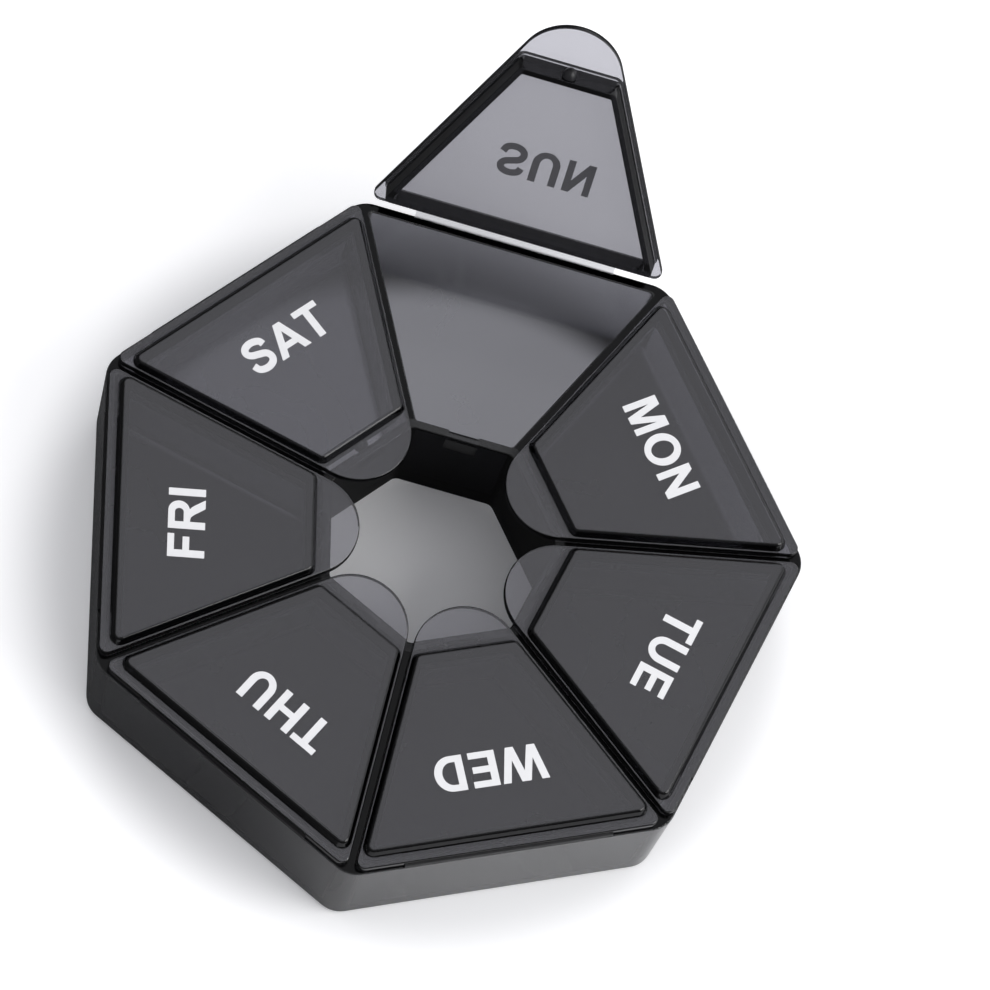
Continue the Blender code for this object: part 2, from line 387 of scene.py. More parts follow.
paintedShadeColour = (0.006, 0.006, 0.007, 1)
lidPlastic = smokyPlastic("lidPlastic", {
    "ior": 1.5,
    "through": 0.93,
    "softGloss": 0.35,
    "shine": 0.5,
    "Gloss": 0.03,
    "Smudge": 0.05,
    "Waviness": 0.25,
    "Scratch": 0.03,
    "bump": 0.06,
    "bumpDepth": 0.05 * mm,
    "clear": (0.94, 0.935, 0.985, 1),
    "hazy": (0.91, 0.905, 0.955, 1),
    "smoke": (0.02, 0.02, 0.045, 1),
    "density": 300,
})
trayPlastic = smokyPlastic("trayPlastic", {
    "ior": 1.5,
    "through": 0.96,
    "softGloss": 0.2,
    "shine": 0.5,
    "Gloss": 0.05,
    "Smudge": 0.06,
    "Waviness": 0.3,
    "Scratch": 0.03,
    "bump": 0.06,
    "bumpDepth": 0.05 * mm,
    "clear": (0.95, 0.95, 0.96, 1),
    "hazy": (0.9, 0.905, 0.92, 1),
    "smoke": (0.02, 0.02, 0.08, 1),
    "density": 900,
})
webPlastic = smokyPlastic("webPlastic", {
    "ior": 1.5,
    "through": 0.97,
    "softGloss": 0.1,
    "shine": 0.1,
    "Gloss": 0.3,
    "Smudge": 0.1,
    "Waviness": 0.3,
    "Scratch": 0.6,
    "bump": 0.3,
    "bumpDepth": 0.05 * mm,
    "clear": (0.97, 0.97, 0.98, 1),
    "hazy": (0.93, 0.935, 0.95, 1),
    "smoke": (0.02, 0.02, 0.08, 1),
    "density": 60,
})


# White pad-printed ink with a slightly uneven coat
inkLook = {
    "scale": 900,
    "detail": 4,
    "thick": (1, 1, 1, 1),
    "thin": (0.9, 0.9, 0.9, 1),
    "roughness": (0.4, 0.6),
    "bump": 0.3,
    "bumpDepth": 0.01 * mm,
}


def makeInk():
    material, tree, shader = newMaterial("whiteInk")
    place = tree.nodes.new("ShaderNodeTexCoord").outputs["Object"]
    coat = addNoise(tree, place, inkLook["scale"], inkLook["detail"])
    feed(tree, shader["Base Color"], mixColours(tree, coat, inkLook["thick"], inkLook["thin"]))
    feed(tree, shader["Roughness"], addRange(tree, coat, 0, 1, *inkLook["roughness"]))
    feed(tree, shader["Normal"], addBump(tree, coat, inkLook["bump"], inkLook["bumpDepth"]))
    return material


whiteInk = makeInk()
print("materials ready")


# Node tree that repeats a shape round the centre, one copy a day
def makePattern():
    tree = bpy.data.node_groups.new("aroundCentre", "GeometryNodeTree")
    kinds = {"Geometry": "Geometry", "Copies": "Int", "Step Angle": "Float", "Material": "Material"}
    for name, kind in kinds.items():
        tree.interface.new_socket(name=name, in_out="INPUT", socket_type="NodeSocket" + kind)
    tree.interface.new_socket(name="Geometry", in_out="OUTPUT", socket_type="NodeSocketGeometry")
    enter = tree.nodes.new("NodeGroupInput").outputs
    leave = tree.nodes.new("NodeGroupOutput").inputs
    line = tree.nodes.new("GeometryNodeMeshLine")
    line.inputs["Offset"].default_value = (0, 0, 0)
    feed(tree, line.inputs["Count"], enter["Copies"])
    index = tree.nodes.new("GeometryNodeInputIndex").outputs["Index"]
    turn = tree.nodes.new("ShaderNodeCombineXYZ")
    feed(tree, turn.inputs["Z"], addMath(tree, "MULTIPLY", index, enter["Step Angle"]))
    place = tree.nodes.new("GeometryNodeInstanceOnPoints")
    feed(tree, place.inputs["Points"], line.outputs["Mesh"])
    feed(tree, place.inputs["Instance"], enter["Geometry"])
    feed(tree, place.inputs["Rotation"], turn.outputs[0])
    real = tree.nodes.new("GeometryNodeRealizeInstances")
    feed(tree, real.inputs["Geometry"], place.outputs["Instances"])
    paint = tree.nodes.new("GeometryNodeSetMaterial")
    feed(tree, paint.inputs["Geometry"], real.outputs["Geometry"])
    feed(tree, paint.inputs["Material"], enter["Material"])
    feed(tree, leave["Geometry"], paint.outputs["Geometry"])
    return tree


pattern = makePattern()


# Turn one day's shape into a ring of seven
def repeatRound(piece, material):
    step = piece.modifiers.new("aroundCentre", "NODES")
    step.node_group = pattern
    sockets = {s.name: s.identifier for s in pattern.interface.items_tree if s.in_out == "INPUT"}
    step[sockets["Copies"]] = len(days)
    step[sockets["Step Angle"]] = -sector
    step[sockets["Material"]] = material
    mesh = bakeMesh(piece, piece.name)
    piece.modifiers.clear()
    piece.data = mesh


# Tray: outer form, seven compartments, centre hole, latch windows and notches
def makeTray():
    height = tray["height"]
    rings = []
    for up, along in quarter():
        inset = tray["draft"] + tray["foot"] * (1 - up)
        rings.append((inset, tray["foot"] * (1 - along)))
    for up, along in quarter():
        rings.append((tray["rimEdge"] * (1 - along), height - tray["rimEdge"] * (1 - up)))
    shape = bmesh.new()
    outlines = [(roundOff(heptagon(apothem - i), tray["corner"] - i), h) for i, h in rings]
    core = tray["hole"] + tray["core"]
    outlines.append((roundOff(heptagon(core), tray["holeCorner"]), height))
    addLoft(shape, outlines)
    body = makeBody("pillTray", shape)

    # Painted shade on the rim and the dividers' tops; the ring round the hole stays clear
    def rimCoat(face):
        onTop = face.center.z > height - tray["topBand"]
        return "paintedShade" if onTop and face.center.xy.length > core / 2 else "clear"

    setCoats(body, rimCoat)

    levels = []
    for up, along in quarter():
        levels.append((tray["innerDraft"] + tray["binFillet"] * (1 - up),
                       tray["floor"] + tray["binFillet"] * (1 - along)))
    for up, along in quarter():
        levels.append((-tray["binEdge"] * (1 - along), height - tray["binEdge"] * (1 - up)))
    levels.append((-tray["binEdge"], height + tray["cutterReach"]))
    shape = bmesh.new()
    rings = []
    for inset, z in levels:
        draft = tray["draft"] * max(0, 1 - z / height)
        outer = apothem - tray["wall"] - draft - inset
        outline = wedge(core + inset, outer, tray["divider"] / 2 + inset)
        radius = max(tray["binCorner"] - max(inset - tray["innerDraft"], 0), tray["leastCorner"])
        rings.append((roundOff(outline, radius, cornerSteps), z))
    addLoft(shape, rings)
    bins = makeBody("binCutter", shape)
    repeatRound(bins, trayPlastic)
    floorNormal = -math.cos(tray["floorTilt"])
    setCoats(bins, lambda face: "softest" if face.normal.z < floorNormal else "soft")
    addBoolean(body, bins, "DIFFERENCE")

    shape = bmesh.new()
    edge = tray["binEdge"]
    rings = [(tray["hole"] - tray["innerDraft"], -tray["cutterReach"])]
    for up, along in quarter():
        rings.append((tray["hole"] + edge * (1 - along), height - edge * (1 - up)))
    rings.append((tray["hole"] + edge, height + tray["cutterReach"]))
    addLoft(shape, [(roundOff(heptagon(r), tray["holeCorner"]), z) for r, z in rings])
    # Painted shade on the walls of the hole
    addBoolean(body, setCoats(makeBody("holeCutter", shape), lambda face: "paintedShade"), "DIFFERENCE")

    # A ring of boxes cut out of the wall round the hole
    def cutBoxes(name, coat, width, inner, low, high):
        outer = core + tray["cutterReach"]
        outline = [(-width / 2, inner), (width / 2, inner), (width / 2, outer), (-width / 2, outer)]
        shape = bmesh.new()
        addLoft(shape, [(outline, low), (outline, high)])
        boxes = makeBody(name, shape)
        repeatRound(boxes, trayPlastic)
        setCoats(boxes, lambda face: coat)
        addBoolean(body, boxes, "DIFFERENCE")

    top = height - tray["windowTop"]
    # Rough painted shade in the latch windows, painted shade in the notches
    cutBoxes("windowCutter", "roughPaintedShade", tray["windowWidth"], tray["hole"] - tray["cutterReach"],
             top - tray["windowHeight"], top)
    cutBoxes("notchCutter", "paintedShade", tray["notchWidth"], core - tray["notchDepth"],
             top + tray["notchLip"], height + tray["cutterReach"])
    mesh = bakeMesh(body, "pillTray")
    body.modifiers.clear()
    body.data = mesh
    discard("binCutter", "holeCutter", "windowCutter", "notchCutter")
    markCoats(body.data)
    body.data.transform(Matrix.Translation(centre))
    smoothMesh(body)
    body.data.materials.clear()
    body.data.materials.append(trayPlastic)
    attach(body, "tray")
    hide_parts("pill_tray")
    print("tray ready:", len(body.data.polygons), "faces")


makeTray()

# Hinge frames from the record: where each lid turns, and how far it stands open at rest
hinges = {}
for joint in frame["joints"]:
    day = joint["child"].split("_")[0]
    axis = Vector(joint["axis"])
    turn = math.atan2(-axis.y, -axis.x)
    opening = -math.radians(joint["range_deg"][0])
    hinges[day] = {"pos": Vector(joint["pos_m"]), "turn": turn, "opening": opening}
hingeRadius = (hinges["sun"]["pos"] - centre).y
hingeHeight = hinges["sun"]["pos"].z


# Places a shape made on the hinge line, in that day's direction and opening
def dayMatrix(day, opened=True):
    hinge = hinges[day]
    swing = Matrix.Rotation(-hinge["opening"] if opened else 0, 4, "X")
    return Matrix.Translation(hinge["pos"]) @ Matrix.Rotation(hinge["turn"], 4, "Z") @ swing


lid = {
    "gap": 0.3 * mm,
    "sideGap": 0.52 * mm,
    "thickness": 1.2 * mm,
    "endGap": 0.5 * mm,
    "corner": 1.2 * mm,
    "edge": 0.25 * mm,
    "tabCentre": 19.8 * mm,
    "tabSteps": 48,
    "panelHeight": 1.1 * mm,
    "panelInner": 18.1 * mm,
    "panelOuter": 47.8 * mm,
    "panelSide": 0.85 * mm,
    "panelSlope": math.radians(60),
    "panelCorner": 1.5 * mm,
    "panelEdge": 0.6 * mm,
    "panelSteps": 10,
    "paintedShadeTilt": math.radians(22),  # steeper faces of the panel get painted shade
    "clearTilt": math.radians(4),
    "flatNormal": 0.97,  # flange faces that point less up or down than this get painted shade
    "skirtDepth": 3.7 * mm,
    "skirtWall": 0.95 * mm,
    "skirtDraft": 0.35 * mm,
    "skirtInner": 18.3 * mm,
    "skirtOuterGap": 0.8 * mm,
    "skirtSide": 1.1 * mm,
    "skirtCorner": 1.0 * mm,
    "hollowCorner": 0.4 * mm,
    "lip": 0.15 * mm,  # rounding of the skirt's edges
    "lipMargin": 1.01,  # faces below this many lips from the slab get painted shade
    "slab": 0.7 * mm,
    "bumpWidth": 2.2 * mm,
    "bumpHeight": 2.2 * mm,
    "bumpReach": 1.5 * mm,
    "bumpBelow": 2.3 * mm,
    "cutterReach": 2 * mm,
}


# Flange seen from above: square at the hinge, a round finger tab at the tip
def lidOutline(inset):
    end = hingeRadius - lid["endGap"] - inset
    side = lid["sideGap"] + inset
    far = halfWidth(end, side)
    near = halfWidth(lid["tabCentre"], side)
    box = [(-near, lid["tabCentre"]), (near, lid["tabCentre"]), (far, end), (-far, end)]
    ends = roundOff(box, lid["corner"] - inset, cornerSteps)[2 * (cornerSteps + 1):]
    radius = lid["tabCentre"] * math.sin(halfSector) - side
    tab = []
    for step in range(lid["tabSteps"] + 1):
        angle = math.pi + halfSector + (math.pi - 2 * halfSector) * step / lid["tabSteps"]
        tab.append(Vector((radius * math.cos(angle), lid["tabCentre"] + radius * math.sin(angle))))
    return ends + tab


def makeLidMesh():
    bottom = tray["height"] + lid["gap"]
    top = bottom + lid["thickness"]
    middle = (bottom + top) / 2
    edge = lid["edge"]
    shape = bmesh.new()
    rings = [(edge * (1 - up), bottom + edge * (1 - along)) for up, along in quarter(4)]
    rings += [(edge * (1 - along), top - edge * (1 - up)) for up, along in quarter(4)]
    addLoft(shape, [(lidOutline(i), z) for i, z in rings])

    # Painted shade on the flange's edge faces
    def flangeCoat(face):
        return "paintedShade" if abs(face.normal.z) < lid["flatNormal"] else "clear"

    master = setCoats(makeBody("lidMaster", shape), flangeCoat)

    panelTop = top + lid["panelHeight"]
    brow = lid["panelEdge"]
    slope = lid["panelSlope"]
    sideRun = (lid["panelHeight"] - brow * (1 - math.cos(slope))) / math.tan(slope)
    levels = [(0, middle), (0, top)]
    for step in range(lid["panelSteps"] + 1):
        tilt = slope * (1 - step / lid["panelSteps"])
        inset = sideRun + brow * (math.sin(slope) - math.sin(tilt))
        levels.append((inset, panelTop - brow * (1 - math.cos(tilt))))
    shape = bmesh.new()
    rings = []
    for inset, z in levels:
        inner = lid["panelInner"] + inset
        outline = wedge(inner, lid["panelOuter"] - inset, lid["panelSide"] + inset)
        rings.append((roundOff(outline, lid["panelCorner"] - inset), z))
    addLoft(shape, rings)

    # Painted shade where the panel's sides are steep, clear again where they round over into its top
    def slopeCoat(face):
        tilt = math.acos(max(-1, min(1, face.normal.z)))
        share = (tilt - lid["clearTilt"]) / (lid["paintedShadeTilt"] - lid["clearTilt"])
        return coatNames[round(coatNames.index("paintedShade") * max(0, min(1, share)))]

    addBoolean(master, setCoats(makeBody("panelPart", shape), slopeCoat), "UNION")

    skirtOuter = apothem - tray["wall"] - lid["skirtOuterGap"]
    skirtBottom = bottom - lid["skirtDepth"]

    def skirtAt(inset, radius):
        outline = wedge(lid["skirtInner"] + inset, skirtOuter - inset, lid["skirtSide"] + inset)
        return roundOff(outline, radius, cornerSteps)

    lip = lid["lip"]
    draft = lid["skirtDraft"]
    corner = lid["skirtCorner"]
    shape = bmesh.new()
    rings = [(skirtAt(lip, corner), middle), (skirtAt(0, corner), bottom - lip)]
    for up, along in reversed(quarter(3)):
        inset = draft + lip * (1 - up)
        rings.append((skirtAt(inset, corner - inset), skirtBottom + lip * (1 - along)))
    addLoft(shape, rings)
    # Painted shade on the whole skirt
    addBoolean(master, setCoats(makeBody("skirtPart", shape), lambda face: "paintedShade"), "UNION")

    shape = bmesh.new()
    bmesh.ops.create_uvsphere(shape, u_segments=32, v_segments=16, radius=1)
    face = lid["skirtInner"] + draft * lid["bumpBelow"] / lid["skirtDepth"]
    stretch = Matrix.Diagonal((lid["bumpWidth"] / 2, lid["bumpReach"], lid["bumpHeight"] / 2, 1))
    spot = Matrix.Translation((0, face, bottom - lid["bumpBelow"]))
    bmesh.ops.transform(shape, matrix=spot @ stretch, verts=shape.verts)
    # Rough painted shade on the snap bump, to dim its highlight
    addBoolean(master, setCoats(makeBody("bumpPart", shape), lambda face: "roughPaintedShade"), "UNION")

    hollow = draft + lid["skirtWall"]
    slab = bottom - lid["slab"]
    corner = lid["hollowCorner"]
    shape = bmesh.new()
    rings = [(skirtAt(hollow - lip, corner), skirtBottom - lid["cutterReach"])]
    rings.append((skirtAt(hollow, corner), slab - lip))
    for up, along in quarter(3):
        inset = lip * (1 - along)
        rings.append((skirtAt(hollow + inset, corner - inset), slab - lip * (1 - up)))
    addLoft(shape, rings)

    # Painted shade inside the skirt, below the slab
    def hollowCoat(face):
        return "paintedShade" if face.center.z < slab - lip * lid["lipMargin"] else "clear"

    addBoolean(master, setCoats(makeBody("hollowCutter", shape), hollowCoat), "DIFFERENCE")
    mesh = bakeMesh(master, "lid")
    markCoats(mesh)
    mesh.transform(Matrix.Translation((0, -hingeRadius, -hingeHeight)))
    discard("lidMaster", "panelPart", "skirtPart", "bumpPart", "hollowCutter")
    return mesh, panelTop


lidMesh, panelTop = makeLidMesh()
for day in days:
    piece = makeObject(day + "Lid", lidMesh.copy())
    piece.data.transform(dayMatrix(day))
    smoothMesh(piece)
    piece.data.materials.clear()
    piece.data.materials.append(lidPlastic)
    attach(piece, day + "_lid")
    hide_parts("lid_" + day)
print("lids ready:", len(lidMesh.polygons), "faces each")

# Living hinge: a thin strip of the same plastic from the tray's rim to the lid's edge
web = {
    "length": 31 * mm,
    "thickness": 0.2 * mm,
    "bulge": 0.55 * mm,  # how far the strip of an open lid bows outwards
    "shutBulge": 0.25 * mm,
    "overlap": 0.12 * mm,
    "seat": 0.4,  # height of the strip's middle over the rim, in thicknesses
    "steps": 16,
    "ribs": 62,
    "ribDepth": 0.02 * mm,
}


# A point beside the hinge line, carried round with the lid
def swung(out, up, angle):
    cosine, sine = math.cos(angle), math.sin(angle)
    return Vector((out * cosine + up * sine, up * cosine - out * sine))


# Middle line of the strip's section, from on the rim to inside the lid's edge
def webPath(angle):
    rimOut = (apothem - hingeRadius) - 2 * web["overlap"]
    start = Vector((rimOut, tray["height"] + web["thickness"] * web["seat"] - hingeHeight))
    lidUp = tray["height"] + lid["gap"] + lid["thickness"] / 2 - hingeHeight
    end = swung(-lid["endGap"] - web["overlap"], lidUp, angle)
    bulge = web["bulge"] if angle > 0 else web["shutBulge"]
    first = start + Vector((bulge, 0))
    second = end + swung(1, 0, angle) * (bulge + web["overlap"])
    path = []
    for step in range(web["steps"] + 1):
        t = step / web["steps"]
        s = 1 - t
        path.append(start * s ** 3 + first * 3 * s * s * t + second * 3 * s * t * t + end * t ** 3)
    return path


def makeWeb(day):
    angle = hinges[day]["opening"]
    path = webPath(angle)
    shape = bmesh.new()
    rows = []
    columns = web["ribs"]
    for c in range(columns + 1):
        x = (c / columns - 0.5) * web["length"]
        half = web["thickness"] / 2 - web["ribDepth"] * (c % 2)
        left, right = [], []
        for k, point in enumerate(path):
            along = (path[min(k + 1, len(path) - 1)] - path[max(k - 1, 0)]).normalized()
            side = Vector((-along.y, along.x)) * half
            left.append(point + side)
            right.append(point - side)
        rows.append([shape.verts.new((x, p.x, p.y)) for p in left + list(reversed(right))])
    count = len(rows[0])
    for near, far in zip(rows, rows[1:]):
        for k in range(count):
            n = (k + 1) % count
            shape.faces.new([near[k], near[n], far[n], far[k]])
    for row in (rows[0], rows[-1]):
        for k in range(web["steps"]):
            shape.faces.new([row[k], row[k + 1], row[count - 2 - k], row[count - 1 - k]])
    # Shut hinges get rough painted shade to hide their highlight; open ones stay clear
    piece = setCoats(makeBody(day + "Web", shape), lambda face: "clear" if angle > 0 else "roughPaintedShade")
    markCoats(piece.data)
    piece.data.materials.clear()
    place = dayMatrix(day, opened=False)
    piece.data.transform(place)
    piece.data.shade_smooth()
    piece.data.set_sharp_from_angle(angle=math.radians(40))
    piece.data.materials.append(webPlastic)
    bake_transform(piece)
    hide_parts("hinge_web_" + day)


for day in days:
    makeWeb(day)
print("living hinges ready")

# Day names in white ink, each shifted across and out from the middle of its lid
ink = {
    "shift": {
        "sun": (1.2 * mm, -0.7 * mm),
        "mon": (0.05 * mm, -0.87 * mm),
        "tue": (0.76 * mm, 0.2 * mm),
        "wed": (0.73 * mm, 0.04 * mm),
        "thu": (-1.16 * mm, -0.22 * mm),
        "fri": (-1.87 * mm, -0.14 * mm),
        "sat": (-0.44 * mm, -0.28 * mm),
    },
    "capHeight": 5.34 * mm,
    "centreRadius": 37.4 * mm,
    "thickness": 0.05 * mm,
    "standOff": 0.6,  # height of the ink's middle over the panel, in thicknesses
    "stem": 0.2,
    "bar": 0.165,
    "narrowing": 0.975,
    "boldness": 0.05 * mm,
}


def arc(x, y, rx, ry, start, end, steps=14):
    points = []
    for k in range(steps + 1):
        angle = math.radians(start + (end - start) * k / steps)
        points.append((x + rx * math.cos(angle), y + ry * math.sin(angle)))
    return points


# A band of even width along a smooth line through the points
def band(points, width, steps=6):
    line = []
    for k in range(len(points) - 1):
        a, b, c, d = (Vector(points[min(max(k + i, 0), len(points) - 1)]) for i in (-1, 0, 1, 2))
        for step in range(steps):
            t = step / steps
            line.append(0.5 * (2 * b + (c - a) * t + (2 * a - 5 * b + 4 * c - d) * t * t
                               + (3 * b - a - 3 * c + d) * t ** 3))
    line.append(Vector(points[-1]))
    left, right = [], []
    for k, point in enumerate(line):
        along = (line[min(k + 1, len(line) - 1)] - line[max(k - 1, 0)]).normalized()
        side = Vector((-along.y, along.x)) * width / 2
        left.append(tuple(point + side))
        right.append(tuple(point - side))
    return left + list(reversed(right))


# Letters in capital heights: space before, advance, outline, and then any hole
def letterShapes():
    s, b = ink["stem"], ink["bar"]
    mid = 0.42
    serpent = [(0.715, 0.725), (0.655, 0.855), (0.42, 0.925), (0.2, 0.87), (0.128, 0.735),
               (0.215, 0.605), (0.42, 0.53), (0.625, 0.45), (0.705, 0.29), (0.625, 0.135),
               (0.405, 0.072), (0.18, 0.135), (0.095, 0.3)]
    return {
        "A": (0.0, 1.008, [[(0, 0), (0.215, 0), (0.3, 0.227), (0.7, 0.227), (0.785, 0), (1, 0),
                            (0.61, 1), (0.39, 1)],
                           [(0.36, 0.39), (0.5, 0.77), (0.64, 0.39)]]),
        "D": (0.101, 1.008, [[(0, 0)] + arc(0.36, 0.5, 0.48, 0.5, -90, 90, 20) + [(0, 1)],
                             [(s, b)] + arc(0.33, 0.5, 0.3, 0.335, -90, 90, 20) + [(s, 1 - b)]]),
        "E": (0.102, 0.932, [[(0, 0), (0.74, 0), (0.74, b), (s, b), (s, mid), (0.68, mid),
                              (0.68, mid + b), (s, mid + b), (s, 1 - b), (0.72, 1 - b),
                              (0.72, 1), (0, 1)]]),
        "F": (0.103, 0.853, [[(0, 0), (s, 0), (s, mid), (0.6, mid), (0.6, mid + b), (s, mid + b),
                              (s, 1 - b), (0.68, 1 - b), (0.68, 1), (0, 1)]]),
        "H": (0.102, 1.008, [[(0, 0), (s, 0), (s, mid), (0.8 - s, mid), (0.8 - s, 0), (0.8, 0),
                              (0.8, 1), (0.8 - s, 1), (0.8 - s, mid + b), (s, mid + b),
                              (s, 1), (0, 1)]]),
        "I": (0.0955, 0.388, [[(0, 0), (s, 0), (s, 1), (0, 1)]]),
        "M": (0.099, 1.163, [[(0, 0), (0.18, 0), (0.18, 0.79), (0.385, 0), (0.58, 0),
                              (0.785, 0.79), (0.785, 0), (0.965, 0), (0.965, 1), (0.675, 1),
                              (0.4825, 0.31), (0.29, 1), (0, 1)]]),
        "N": (0.104, 1.008, [[(0, 0), (0.185, 0), (0.185, 0.66), (0.59, 0), (0.79, 0),
                              (0.79, 1), (0.605, 1), (0.605, 0.34), (0.195, 1), (0, 1)]]),
        "O": (0.059, 1.087, [arc(0.485, 0.5, 0.485, 0.517, 0, 350, 35),
                             arc(0.485, 0.5, 0.275, 0.345, 0, 350, 35)]),
        "R": (0.102, 1.008, [[(0, 0), (s, 0), (s, 0.415), (0.27, 0.415), (0.36, 0.39),
                              (0.43, 0.31), (0.63, 0), (0.875, 0), (0.71, 0.27), (0.645, 0.36),
                              (0.57, 0.425)] + arc(0.545, 0.715, 0.28, 0.285, -75, 90) + [(0, 1)],
                             [(s, 0.575), (0.48, 0.575)] + arc(0.495, 0.706, 0.125, 0.131, -85, 85)
                             + [(0.48, 1 - b), (s, 1 - b)]]),
        "S": (0.04, 0.932, [band(serpent, 0.19)]),
        "T": (0.03, 0.853, [[(0, 1), (0, 1 - b), (0.295, 1 - b), (0.295, 0), (0.295 + s, 0),
                             (0.295 + s, 1 - b), (0.79, 1 - b), (0.79, 1)]]),
        "U": (0.1, 1.008, [[(0, 1)] + arc(0.4, 0.385, 0.4, 0.402, 180, 360) + [(0.8, 1), (0.6, 1)]
                           + arc(0.4, 0.39, 0.2, 0.235, 0, -180) + [(s, 1)]]),
        "W": (0.004, 1.318, [[(0, 1), (0.24, 0), (0.455, 0), (0.655, 0.74), (0.855, 0),
                              (1.07, 0), (1.31, 1), (1.105, 1), (0.955, 0.33), (0.78, 1),
                              (0.53, 1), (0.355, 0.33), (0.205, 1)]]),
    }


letters = letterShapes()


def makeLabel(day):
    cap = ink["capHeight"]
    word = day.upper()
    width = sum(letters[c][1] for c in word)
    start = -width / 2
    data = bpy.data.curves.new(day + "Ink", "CURVE")
    data.dimensions = "2D"
    data.fill_mode = "BOTH"
    data.extrude = ink["thickness"] / 2
    data.offset = ink["boldness"]
    for c in word:
        bearing, advance, outlines = letters[c]
        for k, outline in enumerate(outlines):
            sides = zip(outline, outline[1:] + outline[:1])
            turning = sum(a[0] * b[1] - b[0] * a[1] for a, b in sides)
            if (turning > 0) == (k > 0):
                outline = list(reversed(outline))
            spline = data.splines.new("POLY")
            spline.points.add(len(outline) - 1)
            for point, (x, y) in zip(spline.points, outline):
                point.co = ((start + bearing + x) * cap, (y - 0.5) * cap, 0, 1)
            spline.use_cyclic_u = True
        start += advance
    sketch = makeObject(day + "Sketch", data)
    mesh = bakeMesh(sketch, day + "Label")
    mesh.transform(Matrix.Diagonal((ink["narrowing"], 1, 1, 1)))
    discard(day + "Sketch")
    lift = panelTop - hingeHeight + ink["thickness"] * ink["standOff"]
    across, out = ink["shift"][day]
    mesh.transform(Matrix.Translation((across, ink["centreRadius"] + out - hingeRadius, lift)))
    mesh.transform(dayMatrix(day))
    piece = makeObject(day + "Label", mesh)
    mesh.materials.clear()
    mesh.materials.append(whiteInk)
    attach(piece, day + "_lid")


for day in days:
    makeLabel(day)
print("day names ready")

# Studio: pale floor, soft white room, and one broad lamp from the right
studio = {
    "floorSize": 4.0,
    "floorDrop": 0.2 * mm,
    "floorRoughness": 0.6,
    "floorColour": (0.88, 0.88, 0.885, 1),
    "floorSeen": (1, 1, 1, 1),
    "floorLift": 0.12,  # added where the camera sees the floor outside the hole
    "floorAround": 0.3,  # added beyond the tray, seen straight or through the plastic
    "aroundSpan": (52 * mm, 64 * mm),
    "glow": {"sun": 0.85, "sat": 0.8},  # painted glow of the floor under these compartments
    "glowEdge": (0.92, 1.04),  # in halves of a day's sector
    "glowInner": (18 * mm, 24 * mm),
    "glowOuter": (45 * mm, 52 * mm),
    "holeSpan": (tray["hole"], tray["hole"] * 1.3),
    "shade": 0.1,  # share of the floor colour that reflections see where painted shade darkens it
    "shadeSpan": (0, 48 * mm),
    "brightDirection": (0.9, -0.44, 0),
    "roomColour": (0.95, 0.955, 1, 1),
    "roomLight": 0.68,
    "mirrorSpan": (0.4, 0.85),  # reflected room, from low down to overhead
    "mirrorLight": (0.12, 0.35),
    "sideDirection": (0.8, 0.6, 0),
    "sideSpan": (0.35, 0.9),
    "sideLight": 0.9,
    "lampPlace": (0.62, -0.12, 0.55),
    "lampSize": 0.6,
    "lampPower": 3.2,
}


# Painted light: the floor glows under some compartments, seen through their floors and added to what
# is there
def addGlow(tree, place, reach, lift):
    beyond = addRange(tree, reach, *studio["glowInner"], smooth=True)
    under = addRange(tree, reach, *studio["glowOuter"], 1, 0, smooth=True)
    ring = addMath(tree, "MULTIPLY", beyond, under)
    edges = [halfSector * share for share in studio["glowEdge"]]
    for day, glow in studio["glow"].items():
        turned = tree.nodes.new("ShaderNodeMapping")
        turned.vector_type = "TEXTURE"
        turned.inputs["Location"].default_value = (centre.x, centre.y, 0)
        turned.inputs["Rotation"].default_value = (0, 0, hinges[day]["turn"])
        feed(tree, turned.inputs["Vector"], place)
        flat = tree.nodes.new("ShaderNodeSeparateXYZ")
        feed(tree, flat.inputs[0], turned.outputs[0])
        aside = addMath(tree, "ABSOLUTE", flat.outputs["X"])
        angle = addMath(tree, "ARCTAN2", aside, flat.outputs["Y"])
        lift = addMath(tree, "MULTIPLY_ADD", ring, addRange(tree, angle, *edges, glow, 0), lift)
    return lift


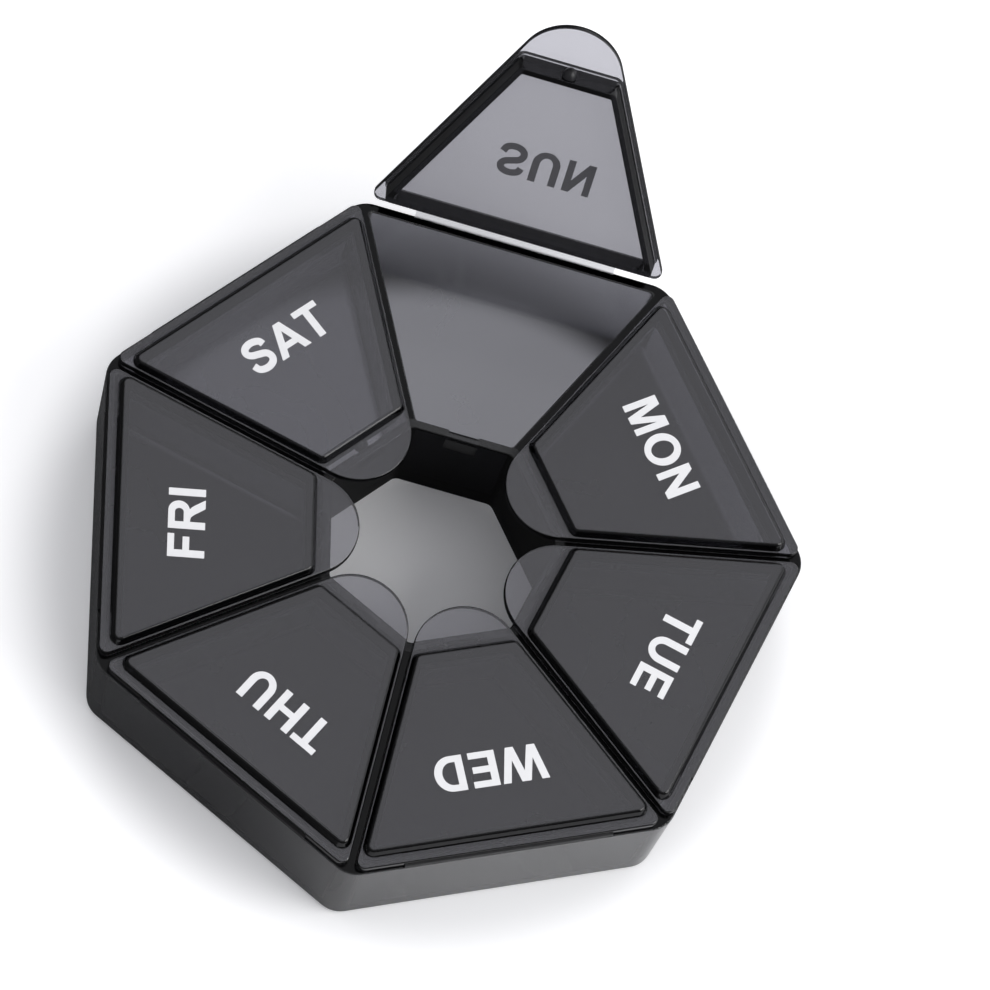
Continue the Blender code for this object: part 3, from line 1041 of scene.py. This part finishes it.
def makeFloor():
    half = studio["floorSize"] / 2
    low = -studio["floorDrop"]
    shape = bmesh.new()
    corners = [(-half, -half), (half, -half), (half, half), (-half, half)]
    shape.faces.new([shape.verts.new((x, y, low)) for x, y in corners])
    mesh = bpy.data.meshes.new("floor")
    shape.to_mesh(mesh)
    shape.free()
    floor = makeObject("floor", mesh)
    material, tree, shader = newMaterial("paleFloor")
    mesh.materials.append(material)
    shader["Roughness"].default_value = studio["floorRoughness"]
    shader["Emission Color"].default_value = studio["floorSeen"]
    ray = tree.nodes.new("ShaderNodeLightPath").outputs
    place = tree.nodes.new("ShaderNodeTexCoord").outputs["Object"]
    reach = addVectorMath(tree, "DISTANCE", place, (centre.x, centre.y, low))

    # The background is white for the camera and through the plastic
    around = addRange(tree, reach, *studio["aroundSpan"], 0, studio["floorAround"], smooth=True)
    lift = addGlow(tree, place, reach, around)
    straight = addMath(tree, "ADD", ray["Is Camera Ray"], ray["Is Transmission Ray"])
    through = addMath(tree, "MULTIPLY", lift, straight)
    outside = addRange(tree, reach, *studio["holeSpan"])
    seenLift = addMath(tree, "MULTIPLY", outside, studio["floorLift"])
    strength = addMath(tree, "MULTIPLY_ADD", ray["Is Camera Ray"], seenLift, through)
    feed(tree, shader["Emission Strength"], strength)

    # Painted shade: reflections see a darker floor colour on one side and in the hole
    side = addVectorMath(tree, "DOT_PRODUCT", place, studio["brightDirection"])
    shade = addRange(tree, side, *studio["shadeSpan"], studio["shade"], 1, smooth=True)
    inHole = addRange(tree, reach, *studio["holeSpan"], studio["shade"])
    darker = addMath(tree, "MINIMUM", shade, inHole)
    reflected = addMath(tree, "SUBTRACT", ray["Is Glossy Ray"], ray["Is Transmission Ray"])
    reflected.node.use_clamp = True
    seen = mixColours(tree, ray["Is Camera Ray"], studio["floorColour"], studio["floorSeen"])
    tone = tree.nodes.new("ShaderNodeVectorMath")
    tone.operation = "SCALE"
    feed(tree, tone.inputs[0], seen)
    feed(tree, tone.inputs["Scale"], mixValues(tree, reflected, 1, darker))
    feed(tree, shader["Base Color"], tone.outputs[0])


# White where the camera looks, a plain room as light, and softer overhead in reflections
def makeRoom():
    world = bpy.data.worlds.new("softRoom")
    scene.world = world
    world.use_nodes = True
    tree = world.node_tree
    back = tree.nodes["Background"].inputs
    back["Color"].default_value = studio["roomColour"]
    ray = tree.nodes.new("ShaderNodeLightPath").outputs
    place = tree.nodes.new("ShaderNodeTexCoord").outputs["Generated"]
    split = tree.nodes.new("ShaderNodeSeparateXYZ")
    feed(tree, split.inputs[0], place)
    overhead = addRange(tree, split.outputs["Z"], *studio["mirrorSpan"], *studio["mirrorLight"],
                        smooth=True)
    toward = addVectorMath(tree, "DOT_PRODUCT", place, studio["sideDirection"])
    beside = addRange(tree, toward, *studio["sideSpan"], 0, studio["sideLight"], smooth=True)
    both = addMath(tree, "ADD", overhead, beside)
    mirrored = mixValues(tree, ray["Is Glossy Ray"], studio["roomLight"], both)
    feed(tree, back["Strength"], mixValues(tree, ray["Is Camera Ray"], mirrored, 1))


def makeLamp():
    lamp = bpy.data.lights.new("softLamp", "AREA")
    lamp.shape = "DISK"
    lamp.size = studio["lampSize"]
    lamp.energy = studio["lampPower"]
    light = makeObject("softLamp", lamp)
    light.location = studio["lampPlace"]
    light.rotation_euler = (centre - light.location).to_track_quat("-Z", "Y").to_euler()


makeFloor()
makeRoom()
makeLamp()

# Camera as in the photograph, from the fit of the tray's corners and the lids' edges
view = {
    "place": Vector((-43.705 * mm, -357.677 * mm, 802.064 * mm)),
    "right": Vector((0.95961, 0.22818, 0.16455)),
    "down": Vector((0.27549, -0.88071, -0.38530)),
    "ahead": Vector((0.05700, 0.41507, -0.90800)),
    "lens": 218.18,
    "sensor": 36,
    "clip": (0.05, 20),
}


def makeCamera():
    data = bpy.data.cameras.new("camera")
    data.sensor_width = view["sensor"]
    data.lens = view["lens"]
    data.clip_start, data.clip_end = view["clip"]
    camera = makeObject("camera", data)
    turn = Matrix((view["right"], -view["down"], -view["ahead"])).transposed().to_4x4()
    rim = centre + Vector((0, 0, tray["height"]))
    camera.matrix_world = Matrix.Translation(view["place"] + rim) @ turn
    scene.camera = camera


makeCamera()
print("studio and camera ready")
